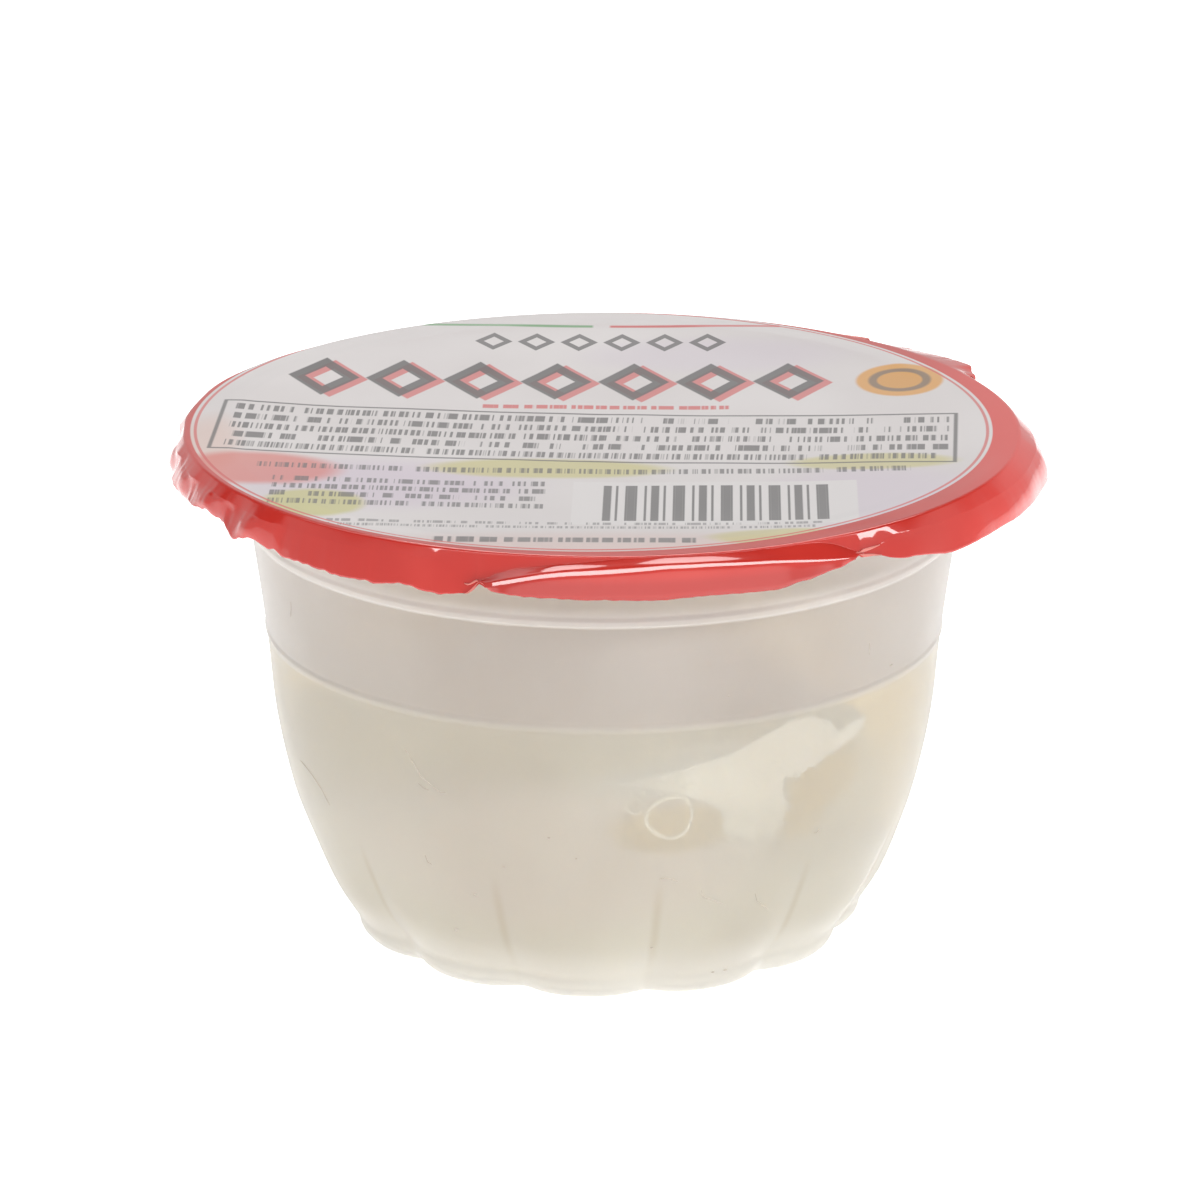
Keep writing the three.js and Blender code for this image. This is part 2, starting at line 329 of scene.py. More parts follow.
def outline_distance(across, height):
    """Signed distance in millimetres to the fold's outline, positive inside."""
    corners = np.array([(math.radians(a) * FOLD_RADIUS, h) for a, h in FOLD_OUTLINE])
    nearest = np.full(across.shape, 1e9)
    inside = np.zeros(across.shape, bool)
    for (x0, y0), (x1, y1) in zip(corners, np.roll(corners, -1, 0)):
        dx, dy = x1 - x0, y1 - y0
        share = np.clip(((across - x0) * dx + (height - y0) * dy) / (dx * dx + dy * dy), 0, 1)
        nearest = np.minimum(nearest, np.hypot(across - x0 - share * dx, height - y0 - share * dy))
        crosses = (y0 > height) != (y1 > height)
        inside ^= crosses & (across < x0 + (height - y0) / dy * dx)
    return np.where(inside, nearest, -nearest)


def ball_radius(turn, height):
    """Distance from the cup's axis out to the slumped ball, at an angle and height."""
    up = np.clip((height - CHEESE_CENTRE[2]) / CHEESE_RADII[2], -1, 1)
    flat = np.sqrt(np.clip(1 - up ** 2, 0, 1))
    folds = 1 + 0.03 * np.sin(3 * turn + 1.2) * (1 - up ** 2) + 0.02 * np.sin(5 * turn + 4 * up)
    across = (turn - FOLD_ANGLE) / FOLD_WIDTH
    above = (up - FOLD_LIFT) / FOLD_TALL
    bulge = FOLD_REACH * 0.6 * np.exp(-(across ** 2 + above ** 2) / 2)
    half_x = np.maximum(CHEESE_RADII[0] * flat * folds + bulge, 1e-3)
    half_y = np.maximum(CHEESE_RADII[1] * flat * folds + bulge, 1e-3)
    slide = np.clip(flat * 4, 0, 1)
    sin_x, cos_y = np.sin(turn), -np.cos(turn)
    centre_x, centre_y = CHEESE_CENTRE[0] * slide, CHEESE_CENTRE[1] * slide
    a = (sin_x / half_x) ** 2 + (cos_y / half_y) ** 2
    b = -2 * (sin_x * centre_x / half_x ** 2 + cos_y * centre_y / half_y ** 2)
    c = (centre_x / half_x) ** 2 + (centre_y / half_y) ** 2 - 1
    root = np.sqrt(np.maximum(b * b - 4 * a * c, 0))
    radius = (-b + root) / (2 * a)
    strands = 0.2 * np.sin(31 * turn + 5 * up + 2 * np.sin(5 * turn)) * flat
    strands = strands + 0.12 * np.sin(53 * turn - 9 * up + 1.5 * np.sin(7 * turn + 3 * up)) * flat
    return np.maximum(radius + strands, 0.05)


def mass_gap(turn, height):
    """Gap to the wall of the part of the cheese that lies close to it."""
    degrees = np.degrees(turn)
    wave = ripple(turn, ((9, 0.5, 0.4), (16, 0.35, 2.0), (27, 0.25, 1.1)))
    rise = height - around(MASS_TOPS, degrees) + wave
    gap = 0.5 + 0.12 * ripple(turn, ((14, 1.0, 0.3), (23, 0.7, 1.9))) * np.sin(height * 0.5 + 3 * turn)
    gap = gap + 0.22 * np.clip(rise + 2.6, 0, None) ** 2 + 0.1 * np.clip(6 - height, 0, None) ** 2
    gap = gap + 0.0022 * np.clip(np.abs(degrees + 8) - 62, 0, None) ** 2
    at, level, wide, tall, depth = VALLEY
    return gap + depth * np.exp(-((degrees - at) / wide) ** 4 - ((height - level) / tall) ** 4)


def fold_gap(turn, height):
    """Gap to the wall of the fold: none inside its outline, opening steeply past its ragged edge."""
    across = turn * FOLD_RADIUS
    frayed = 0.35 + 0.65 * smooth(19.0, 25.0, np.degrees(turn)) * (1 - smooth(26.0, 31.0, height))
    ragged_x = np.sin(height * 3.1 + 0.4) + 0.7 * np.sin(height * 6.7 + across * 1.3)
    ragged_x = FOLD_FRAY * frayed * (ragged_x + 0.4 * np.sin(height * 11.3))
    ragged_y = np.sin(across * 2.3 + 1.0) + 0.7 * np.sin(across * 5.1 + height)
    ragged_y = FOLD_FRAY * frayed * (ragged_y + 0.5 * np.sin(across * 9.7 + 2))
    depth = outline_distance(across + ragged_x, height + ragged_y)
    surface = 0.05 * (1 + np.sin(across * 0.9 + height * 0.7) * np.sin(height * 0.8))
    left_wave = 0.3 + 0.16 * np.sin(height * 4.1) * np.sin(across * 1.7)
    left_end = (1 - smooth(6.0, 20.0, np.degrees(turn))) * left_wave
    return surface + left_end - FOLD_INTO_WALL + np.clip(-depth, 0, None) * 4.0


def make_cheese(material):
    fine = np.arange(-2, 56, 0.42)
    coarse = np.concatenate([np.arange(56, 180, 1.6), np.arange(-180, -2, 1.1)])
    turn = np.radians(np.sort(np.concatenate([fine, coarse])))[None, :]
    lean = np.linspace(-0.93, 1, CHEESE_ROWS)[:, None] * (math.pi / 2)
    height = CHEESE_CENTRE[2] + CHEESE_RADII[2] * np.sin(lean)
    height = np.maximum(height, CHEESE_FLOOR + 0.2) * np.ones_like(turn)
    wall = inner_radius(turn, height)
    covered = 1 - smooth(34.9, 36.0, height)
    mass = np.maximum(ball_radius(turn, height), (wall - mass_gap(turn, height)) * covered)
    mass = np.minimum(mass, wall - CHEESE_GAP)
    radius = np.maximum(mass, (wall - fold_gap(turn, height)) * covered)
    vertices, faces = turned_mesh(radius, height, turn)
    return new_object("burrata_cheese", vertices, faces, material)


# ---- Film lid ----

# Radius of the corner where the film's face turns down into its skirt, by degrees from the front.
RIM_RADII = (
    (-180, 46.5), (-150, 46.5), (-135, 46.6), (-124, 47), (-112, 47.4), (-104, 47.2), (-96, 47.2),
    (-88, 47), (-76, 46.8), (-60, 46.6), (60, 46.6), (150, 46.5),
)
# Drop of the skirt's edge below the film's top, and its radius.
EDGE_DROPS = (
    (-165, 4.2), (-150, 3.9), (-135, 3.8), (-120, 3.2), (-105, 3.2), (-97, 3.7), (-90, 3.6), (-85, 4.2),
    (-80, 3.4), (-75, 3.9), (-70, 3.5), (-64, 3), (-60, 3.5), (-56, 4.2), (-52, 3.5), (-49, 4.1),
    (-46, 4.4), (-41, 4.5), (-36, 4.7), (-31, 4.7), (-27, 4.3), (-22, 4.9), (-18, 4.5), (-16, 3.3),
    (-14, 3.9), (-9, 4.2), (0, 4.3), (6, 4.4), (14, 4.2), (22, 4.3), (26, 3.7), (31, 3), (35, 2.3),
    (43, 3.8), (52, 4.8), (59, 4.5), (63, 4.4), (77, 4.5), (86, 4.5), (95, 4.5), (105, 4.2), (110, 3.6),
    (116, 1.4), (119, 0.8), (122, 0.6), (133, 0.6), (138, 0.7), (145, 1.3), (152, 2.6), (160, 3.7),
    (180, 4.3),
)
EDGE_RADII = (
    (-165, 47.7), (-150, 47.7), (-135, 48), (-120, 48.4), (-105, 48.6), (-90, 48.3), (-80, 48.2),
    (-70, 48.1), (-60, 47.8), (-50, 47.8), (-42, 48), (-30, 48), (-22, 47.8), (-16.5, 47.6), (-13, 48.4),
    (0, 48.4), (20, 48.4), (26, 48.5), (31, 48.4), (33.5, 48.1), (35.5, 47.6), (38, 47.7), (45, 48),
    (60, 48.9), (75, 49.4), (90, 49.8), (105, 48.3), (112, 47.7), (116, 47.8), (119, 48.8), (122.2, 50),
    (124, 49.8), (133, 48.8), (138, 48.3), (145, 47.8), (160, 47.8), (180, 47.9),
)
# The long crease at the front: heights of its ridge and of the kink above it, the ridge's radius.
CREASE_SPAN = (-16.2, 35.0)
RIDGE_HEIGHTS = (
    (-16.2, 54.4), (-13.7, 54.9), (-10.8, 55.5), (-8, 56), (-4.8, 56.35), (1.9, 56.7), (7.8, 57),
    (13.9, 56.95), (22.3, 56.6), (29, 56), (35, 55.5),
)
RIDGE_RADII = (
    (-16.2, 47.7), (-15.4, 48.05), (-14, 48.15), (-12, 48.1), (-4, 47.95), (15, 47.9), (24, 48),
    (30, 48.2), (33, 48.1), (34.4, 47.9), (35, 47.6),
)
RIDGE_WIDTHS = ((-16.2, 0.3), (-14.5, 0.75), (0, 0.85), (15, 0.65), (28, 0.45), (35, 0.15))
# Tilt of the narrow facet along the ridge, at which it mirrors the light in front.
RIDGE_FACETS = (
    (-16.2, 17.5), (-14, 20.6), (-12, 23.3), (-8, 25.4), (-4, 27.2), (0, 28.1), (6, 29.2), (12, 29.9),
    (18, 29.9), (24, 29.2), (28, 28.6), (30, 27.8), (32, 26.2), (35, 23.5),
)
KINK_HEIGHTS = (
    (-16.2, 54.7), (-14.5, 55.5), (-12.3, 56.2), (-6.2, 56.95), (2.7, 57.7), (27, 57.7), (30, 57.5),
    (32, 57), (34, 56.2), (35, 55.8),
)
KINK_LEANS = ((-16.2, 0.9), (-14.5, 0.45), (-11, 0.25), (27, 0.3), (32, 0.35), (34, 0.4), (35, 1.0))
# How far the skirt bulges out between rim and edge.
SAGS = (
    (-180, 0.1), (-50, 0.1), (36, 0), (50, 0.1), (60, 0.45), (75, 0.8), (100, 0.7), (112, 0.1), (116, 0),
    (145, 0),
)
# Folds in the skirt: degrees at the rim and at the edge, width left of the crest at the rim and at the
# edge, the same right of it, size.
FOLDS = (
    (-106, -112, 5, 5, 4, 4, 0.5), (-93, -101, 6, 6, 4, 4, 0.6), (-80, -89, 7, 7, 4, 4, 0.7),
    (-68.9, -78, 8, 8, 4, 5, 0.8), (-59.5, -67.3, 7, 7, 4, 7, 0.9), (-49.3, -55.6, 6, 5, 3, 8, 1.1),
    (-36, -35, 5, 5, 4, 4, 0.14), (44.4, 46.1, 8, 8, 9, 9, 0.3), (64, 66, 5, 5, 5, 5, 0.2),
    (86, 84, 5, 5, 4, 4, 0.22), (150, 150, 5, 5, 5, 5, 0.25), (168, 170, 5, 5, 5, 5, -0.25),
    (-160, -158, 5, 5, 5, 5, 0.25), (-138, -136, 5, 5, 5, 5, -0.2), (-120, -124, 5, 5, 4, 4, 0.3),
)
# Sine waves of the skirt's edge all round, and of its torn places: count, size, phase.
NICKS = ((41, 0.05, 0.2), (67, 0.05, 1.9), (113, 0.04, 2.2), (157, 0.05, 0.9), (223, 0.04, 0.1))
TEARS = ((29, 0.7, 0.6), (47, 0.6, 2.6), (83, 0.5, 1.3))


def fold_crest(away, left, right):
    """Fold with flat sides and a narrow crest, 1 at the crest and 0 past its widths."""
    share = np.where(away < 0, away / left, away / right)
    return np.clip(1.06 - np.sqrt(share ** 2 + 0.01), 0, None)


def folds_at(degrees, depth):
    """How far the folds stand out, from the rim at depth 0 to the skirt's edge at depth 1."""
    total = 0.0
    for *ends, size in FOLDS:
        crest, left, right = [rim + (edge - rim) * depth for rim, edge in zip(ends[::2], ends[1::2])]
        total = total + size * fold_crest(turn_from(degrees, crest), left, right)
    return total * np.minimum(1.0, depth / 0.4)


def left_share(degrees):
    """All on the left, where the film is most crumpled, none on the right."""
    return smooth(-95, -20, -np.abs(turn_from(degrees, -75)))


def along(table, degrees):
    """Value from (degrees, value) pairs along part of the circle, its corners smoothed."""
    values = np.interp(degrees, *np.array(table, float).T)
    kernel = np.hanning(11)
    return np.convolve(np.pad(values, 5, mode="edge"), kernel / kernel.sum(), mode="valid")


def rounded(before, corner, after, reach, steps):
    """Rows along an arc that rounds a corner, and the arc's ends, for pairs of radius and height."""
    arms = []
    for other, limit in zip((before, after), reach):
        length = np.maximum(np.hypot(*(other - corner)), 1e-6)
        arms.append(corner + (other - corner) * np.minimum(limit / length, 0.46))
    shares = np.linspace(0, 1, steps)
    return [arms[0] * (1 - t) ** 2 + corner * 2 * t * (1 - t) + arms[1] * t ** 2 for t in shares]


def skirt_edge(degrees):
    """The skirt's ragged lower edge, as a pair of radius and height."""
    angle = np.radians(degrees)
    torn = np.clip(ripple(angle, TEARS) - 0.9, 0, None)
    nicks = (ripple(angle, NICKS) + 0.22 * torn) * (0.2 + 0.8 * left_share(degrees))
    return np.stack([around(EDGE_RADII, degrees), FILM_TOP - around(EDGE_DROPS, degrees) + nicks])


def crease_corners(degrees, rim, edge):
    """Kink and ridge of the front crease, each a pair of radius and height."""
    kink_height = np.clip(along(KINK_HEIGHTS, degrees), edge[1] + 0.2, FILM_TOP - 0.2)
    reach = (edge[0] - rim[0]) * (FILM_TOP - kink_height) / (FILM_TOP - edge[1])
    kink = np.stack([rim[0] + reach * along(KINK_LEANS, degrees), kink_height])
    ridge_height = np.clip(along(RIDGE_HEIGHTS, degrees), edge[1] + 0.1, FILM_TOP - 0.5)
    return kink, np.stack([along(RIDGE_RADII, degrees), ridge_height])


def film_skirt(degrees):
    """Grids of radius and height for the outer face, from the rim's bend down to the ragged edge."""
    rim = np.stack([around(RIM_RADII, degrees), np.full_like(degrees, FILM_TOP)])
    edge = skirt_edge(degrees)
    first, last = CREASE_SPAN
    near = smooth(first - 6.0, first, degrees) * (1 - smooth(last, last + 7.0, degrees))
    inside = smooth(first - 0.4, first + 0.2, degrees) * (1 - smooth(last - 0.2, last + 0.4, degrees))
    outward = np.array([[1.0], [0.0]])
    away = 1 - near
    sag = around(SAGS, degrees) * away
    kink = rim + (edge - rim) * (0.3 + 0.6 * near) + outward * (sag + folds_at(degrees, 0.3) * away)
    ridge = rim + (edge - rim) * (0.64 + 0.32 * near) + outward * (sag * 0.9 + folds_at(degrees, 0.64) * away)
    edge = edge + outward * folds_at(degrees, 1.0) * 0.85 * away
    crease_kink, crease_ridge = crease_corners(degrees, rim, edge)
    kink = kink + (crease_kink - kink) * inside
    ridge = ridge + (crease_ridge - ridge) * inside
    rows = rounded(rim - outward, rim, kink, (0.3, 0.25), 6)
    rows += rounded(rim, kink, ridge, (0.06, 0.06), 4)
    chord = (edge - kink) / np.hypot(*(edge - kink))
    tilt = np.radians(along(RIDGE_FACETS, degrees))
    facet = np.stack([np.sin(tilt), -np.cos(tilt)])
    lean = chord + (facet - chord) * inside
    half = along(RIDGE_WIDTHS, degrees) * 0.5 * inside + 0.6 * (1 - inside)
    upper = ridge - lean * half
    lower = ridge + lean * half
    rows += rounded(kink, upper, lower, (1.2 - 0.85 * inside, 0.6 - 0.52 * inside), 6)
    below = rounded(upper, lower, edge, (0.6 - 0.52 * inside, 2.4 - 1.8 * inside), 8)
    rows += [rows[-1] + (below[0] - rows[-1]) * share for share in (0.25, 0.75)] + below
    rows += [rows[-1] + (edge - rows[-1]) * share for share in (0.35, 0.7, 1.0)]
    grid = np.array(rows)
    return grid[:, 0], grid[:, 1]


def film_face(degrees):
    """Grids of radius and height for the film over the mouth, up to the rim's bend."""
    angle = np.radians(degrees)
    rim = around(RIM_RADII, degrees)
    spans = ((0.5, 38, 12), (39, SEAL_RADIUS, 4), (42.4, 44.6, 5))
    radii = np.concatenate([np.linspace(*span) for span in spans])
    rows = [np.full_like(angle, r) for r in radii]
    rows += [44.6 + (rim - 0.35 - 44.6) * share for share in (0.33, 0.66, 1.0)]
    radius = np.array(rows)
    dish = -FILM_DISH * np.maximum(0.0, 1 - (radius / SEAL_RADIUS) ** 2)
    waves = 0.05 * np.sin(radius * 0.33) * np.sin(3 * angle + 0.6)
    waves = waves + 0.03 * np.sin(7 * angle + radius * 0.2) * (radius / 45)
    flat = 1 - smooth(44.0, 45.5, radius)
    seal = 0.06 * smooth(SEAL_RADIUS - 0.8, SEAL_RADIUS + 0.4, radius)
    return radius, FILM_TOP + (dish + waves + seal - 0.06) * flat


def make_film(*materials):
    """Film with the materials of its printed side and its underside."""
    degrees = np.linspace(-180, 180, FILM_SEGMENTS, endpoint=False)
    face_radius, face_height = film_face(degrees)
    skirt_radius, skirt_height = film_skirt(degrees)
    radius = np.vstack([face_radius, skirt_radius])
    height = np.vstack([face_height, skirt_height])
    slope_radius = np.gradient(radius, axis=0)
    slope_height = np.gradient(height, axis=0)
    length = np.maximum(np.hypot(slope_radius, slope_height), 1e-9)
    under_radius = radius + slope_height / length * FILM_THICKNESS
    under_height = height - slope_radius / length * FILM_THICKNESS
    all_radius = np.vstack([under_radius, radius[::-1]])
    all_height = np.vstack([under_height, height[::-1]])
    vertices, faces = turned_mesh(all_radius, all_height, np.radians(degrees)[None, :])
    film = new_object("printed_lid", vertices, faces, *materials)
    under_faces = (len(radius) - 1) * FILM_SEGMENTS
    for polygon in film.data.polygons[:under_faces]:
        polygon.material_index = 1
    return film


# ---- Fibres, specks and bubble rings on the wall ----

FIBRES = (
    ((-61.6, 43.5), (-61.9, 42.6), (-62.6, 41.5)),
    ((-35.3, 30.7), (-33.8, 29.5), (-32.4, 27.9), (-29.8, 26.7), (-28.6, 26.3), (-27.5, 26.4)),
    ((-32.9, 26.9), (-31.8, 26.4), (-30.6, 26.3)),
    ((-67.4, 23.3), (-65, 23.1), (-62.6, 22.6), (-59.5, 21.4), (-57.7, 19.8)),
    ((9.8, 17.0), (10.8, 17.1), (11.8, 16.9), (13.3, 16.5)),
    ((17.8, 15.1), (18.1, 14.4), (18.8, 13.9), (20.8, 13.4), (23.0, 12.6)),
    ((29.0, 13.5), (29.8, 12.4), (31.2, 11.7), (32.9, 10.8)),
    ((39.9, 19.7), (40.5, 19.6), (41.2, 20.0)),
    ((48.2, 41.2), (48.5, 40.3), (48.6, 39.7)),
    ((-33.5, 17.9), (-33.2, 17.0), (-32.3, 16.8)),
)
SPECKS = ((-9.4, 22.3, 0.2), (-4.8, 19.8, 0.15), (-17.8, 18.1, 0.22), (-24.3, 13.8, 0.28), (-30.2, 8.4, 0.3),
          (9.7, 7.4, 0.18), (24.3, 2.9, 0.2), (27.3, 2.9, 0.25), (55.4, 37.2, 0.3), (20.5, 38.6, 0.14))
FIBRE_RADIUS = 0.035
BUBBLES = ((11.3, 24.6, 2.5, 0.3), (5.2, 26.2, 0.9, 0.17), (-36.0, 22.9, 1.7, 0.14), (-24.8, 19.2, 1.2, 0.14))
BUBBLE_PROUD = 0.3  # how far the rings stand out of the whey's side


def turned_point(angle, radius, height):
    return Vector((radius * math.sin(angle), -radius * math.cos(angle), height))


def wall_point(degrees, height, proud):
    angle = math.radians(degrees)
    return turned_point(angle, float(outer_radius(angle, height)) + proud, height)


def tube(points, radius, sides=6):
    """Vertices and faces of a closed round tube along points, thinner at both ends."""
    vertices = []
    for i, point in enumerate(points):
        along = (points[min(i + 1, len(points) - 1)] - points[max(i - 1, 0)]).normalized()
        side = along.cross(Vector((0, 0, 1))).normalized() if abs(along.z) < 0.95 else Vector((1, 0, 0))
        up = side.cross(along)
        taper = 0.45 if i in (0, len(points) - 1) else 1.0
        for k in range(sides):
            turn = 2 * math.pi * k / sides
            vertices.append(point + (side * math.cos(turn) + up * math.sin(turn)) * radius * taper)
    faces = ring_faces(len(points), sides)
    faces.append(list(range(sides))[::-1])
    last = (len(points) - 1) * sides
    faces.append([last + k for k in range(sides)])
    return [tuple(v) for v in vertices], faces


def joined_object(name, parts, material):
    """One object of several closed meshes."""
    vertices = []
    faces = []
    for part_vertices, part_faces in parts:
        first = len(vertices)
        vertices += part_vertices
        faces += [[first + i for i in face] for face in part_faces]
    return new_object(name, vertices, faces, material)


def make_fibres(material):
    parts = []
    for line in FIBRES:
        fine = []
        for (a0, h0), (a1, h1) in zip(line[:-1], line[1:]):
            fine += [wall_point(a0 + (a1 - a0) * t, h0 + (h1 - h0) * t, 0.02) for t in (0, 0.25, 0.5, 0.75)]
        fine.append(wall_point(*line[-1], 0.02))
        parts.append(tube(fine, FIBRE_RADIUS))
    for degrees, height, size in SPECKS:
        centre = wall_point(degrees, height, 0.0)
        across = (wall_point(degrees + 0.6, height, 0.0) - centre).normalized()
        line = [centre + across * size * step for step in (-0.9, -0.4, 0.4, 0.9)]
        parts.append(tube(line, size * 0.4, sides=8))
    return joined_object("lint_fibres", parts, material)


def make_bubble_rings(material):
    """Curd-white rings left by small bubbles against the wall's inner face."""
    parts = []
    for degrees, height, size, thickness in BUBBLES:
        steps = 48
        points = []
        for k in range(steps + 1):
            turn = 2 * math.pi * k / steps
            wobble = 1 + 0.05 * math.sin(3 * turn + degrees)
            radius = float(inner_radius(math.radians(degrees), height))
            shift = size * wobble * math.cos(turn) / radius
            angle = math.radians(degrees) + shift
            level = height + size * wobble * math.sin(turn)
            radius = float(inner_radius(angle, level)) + WHEY_INTO_WALL + BUBBLE_PROUD - thickness
            points.append(turned_point(angle, radius, level))
        parts.append(tube(points, thickness))
    return joined_object("bubble_rings", parts, material)


# ---- Materials ----

class Graph:
    """Short calls for building the nodes of a material, or of the world."""

    def __init__(self, name, kind="Material"):
        owners = bpy.data.materials if kind == "Material" else bpy.data.worlds
        self.owner = owners.new(name)
        self.owner.use_nodes = True
        self.tree = self.owner.node_tree
        self.tree.nodes.clear()
        self.output = self.node("ShaderNodeOutput" + kind)

    def node(self, kind, **values):
        """New node. Capitalised names are its inputs, with _ for a space, and the others its settings."""
        item = self.tree.nodes.new(kind)
        for key, value in values.items():
            if key[0].isupper():
                self.put(value, item.inputs[key.replace("_", " ")])
            else:
                setattr(item, key, value)
        return item

    def put(self, value, socket):
        if isinstance(value, bpy.types.NodeSocket):
            self.tree.links.new(value, socket)
        else:
            socket.default_value = value

    def math(self, operation, first, second=0.0):
        item = self.node("ShaderNodeMath", operation=operation)
        self.put(first, item.inputs[0])
        self.put(second, item.inputs[1])
        return item.outputs[0]

    times = partialmethod(math, "MULTIPLY")
    plus = partialmethod(math, "ADD")
    minus = partialmethod(math, "SUBTRACT")
    ratio = partialmethod(math, "DIVIDE")

    def turn(self, x, y):
        """Angle in radians from the front."""
        return self.math("ARCTAN2", x, self.times(y, -1.0))

    def reach(self, u, v, centre, half):
        """Squared distance from a centre, in half sizes."""
        across = self.ratio(self.minus(u, centre[0]), half[0])
        along = self.ratio(self.minus(v, centre[1]), half[1])
        return self.plus(self.times(across, across), self.times(along, along))

    def span(self, value, low, high, start=0.0, end=1.0):
        """Clamped smooth map of value from low..high to start..end."""
        ends = {"From_Min": low, "From_Max": high, "To_Min": start, "To_Max": end}
        item = self.node("ShaderNodeMapRange", interpolation_type="SMOOTHSTEP", Value=value, **ends)
        return item.outputs["Result"]

    def mix(self, share, first, second):
        item = self.node("ShaderNodeMix", data_type="RGBA", Factor=share)
        colour_a, colour_b = [socket for socket in item.inputs if socket.type == "RGBA"]
        self.put(first, colour_a)
        self.put(second, colour_b)
        return [socket for socket in item.outputs if socket.type == "RGBA"][0]

    def tone(self, value, first, second, low=0.35, high=0.65):
        """Colour between two sRGB tones, by a noise value."""
        return self.mix(self.span(value, low, high), rgb(*first), rgb(*second))

    def place(self):
        """Object coordinates in millimetres: vector, x, y, z."""
        source = self.node("ShaderNodeTexCoord").outputs["Object"]
        scaled = self.node("ShaderNodeVectorMath", operation="SCALE", Vector=source, Scale=1 / MM).outputs[0]
        parts = self.node("ShaderNodeSeparateXYZ", Vector=scaled)
        return scaled, *parts.outputs

    def stretched(self, vector, scales):
        return self.node("ShaderNodeMapping", Vector=vector, Scale=scales).outputs[0]

    def noise(self, vector, scale, detail=3.0, roughness=0.5):
        item = self.node("ShaderNodeTexNoise", Vector=vector, Scale=scale, Detail=detail, Roughness=roughness)
        return item.outputs["Fac"]

    def bump(self, height, strength, distance):
        item = self.node("ShaderNodeBump", Strength=strength, Distance=distance * MM, Height=height)
        return item.outputs["Normal"]

    def finish(self, item, end="Surface"):
        self.put(item.outputs[0], self.output.inputs[end])
        return self.owner

    def shader(self, **values):
        return self.finish(self.node("ShaderNodeBsdfPrincipled", **values))


def rgb(*levels):
    """Linear colour from three sRGB levels of 11 to 255."""
    return (*[((level / 255 + 0.055) / 1.055) ** 2.4 for level in levels], 1.0)


def plastic_material():
    """Frosted polypropylene: milky, whiter along the ribs and foot (thicker plastic and painted light), with
    painted shade greying the band above the whey and darkening the grooves to a faint cream.
    """
    g = Graph("frosted_plastic")
    place, x, y, z = g.place()
    haze = g.noise(g.stretched(place, (1, 1, 0.6)), 0.06, 4.0)
    bead_rise = g.span(z, BEAD_HEIGHT - 0.1, BEAD_HEIGHT + 0.1)
    bead = g.times(bead_rise, g.span(z, BEAD_HEIGHT + 0.8, BEAD_HEIGHT + 2.6, 1, 0))
    ledge_rise = g.span(z, LEDGE_HEIGHT - 0.15, LEDGE_HEIGHT + 0.15)
    ledge = g.times(ledge_rise, g.span(z, LEDGE_HEIGHT + 0.6, LEDGE_HEIGHT + 1.3, 1, 0))
    foot = g.span(z, 1.5, 9.0, 1, 0)
    thick_and_painted_light = g.math("MAXIMUM", g.math("MAXIMUM", bead, g.times(ledge, 0.25)), foot)
    from_groove = g.times(g.minus(g.turn(x, y), FIRST_GROOVE), LOBE_COUNT / 2)
    wave = g.math("ABSOLUTE", g.math("SINE", from_groove))
    low = g.span(z, GROOVE_TOP * 0.7, GROOVE_TOP * 1.06, 1, 0)
    groove = g.times(g.times(g.span(wave, 0.0, 0.16, 1, 0), low), g.span(z, 3.0, 9.0, 0.3, 1.0))
    dry = g.span(z, LEDGE_HEIGHT - 0.8, LEDGE_HEIGHT + 1.2)
    wet_tone = g.tone(haze, (247, 244, 235), (250, 248, 239))
    # Painted shade from the lid: the band above the whey takes a greyer tone.
    body = g.mix(dry, wet_tone, g.tone(haze, (234, 227, 219), (238, 232, 225)))
    # Painted shade: the grooves darken towards a faint cream.
    body = g.mix(g.times(groove, 0.36), body, rgb(214, 202, 178))
    # Whiter along the bead, ledge and foot: partly thicker, milkier plastic, partly painted light.
    colour = g.mix(g.times(thick_and_painted_light, 0.4), body, rgb(254, 252, 249))
    clear = g.minus(g.span(haze, 0.3, 0.7, 0.72, 0.69), g.times(dry, 0.04))
    return g.shader(
        Base_Color=colour, Roughness=g.span(haze, 0.3, 0.7, 0.30, 0.33), IOR=1.4,
        Transmission_Weight=g.minus(clear, g.times(thick_and_painted_light, 0.2)),
        Normal=g.bump(g.noise(place, 3.5, 2.0), 0.12, 0.05),
    )


def mottled_material(name, scale, detail, tones, rough, **values):
    """Faintly mottled surface, for the cup's inner face, foam and lint."""
    g = Graph(name)
    cloud = g.noise(g.place()[0], scale, detail)
    base = g.tone(cloud, *tones)
    return g.shader(Base_Color=base, Roughness=g.span(cloud, 0.3, 0.7, *rough), **values)


# Soft colour patches in the whey: degrees, height, half sizes, colour, strength.
AMBER = (248, 226, 178)
CREAM = (255, 252, 246)
WHEY_PATCHES = (
    (-12, 19.5, 44, 9.5, (255, 240, 234), 0.55), (12, 28.9, 15, 2, CREAM, 0.7),
    (19, 31.2, 10, 2.4, CREAM, 0.55), (12.5, 23, 11, 2.8, AMBER, 0.9), (41, 26.5, 8, 4, AMBER, 0.85),
    (37, 22.5, 5, 3, AMBER, 0.75),
)


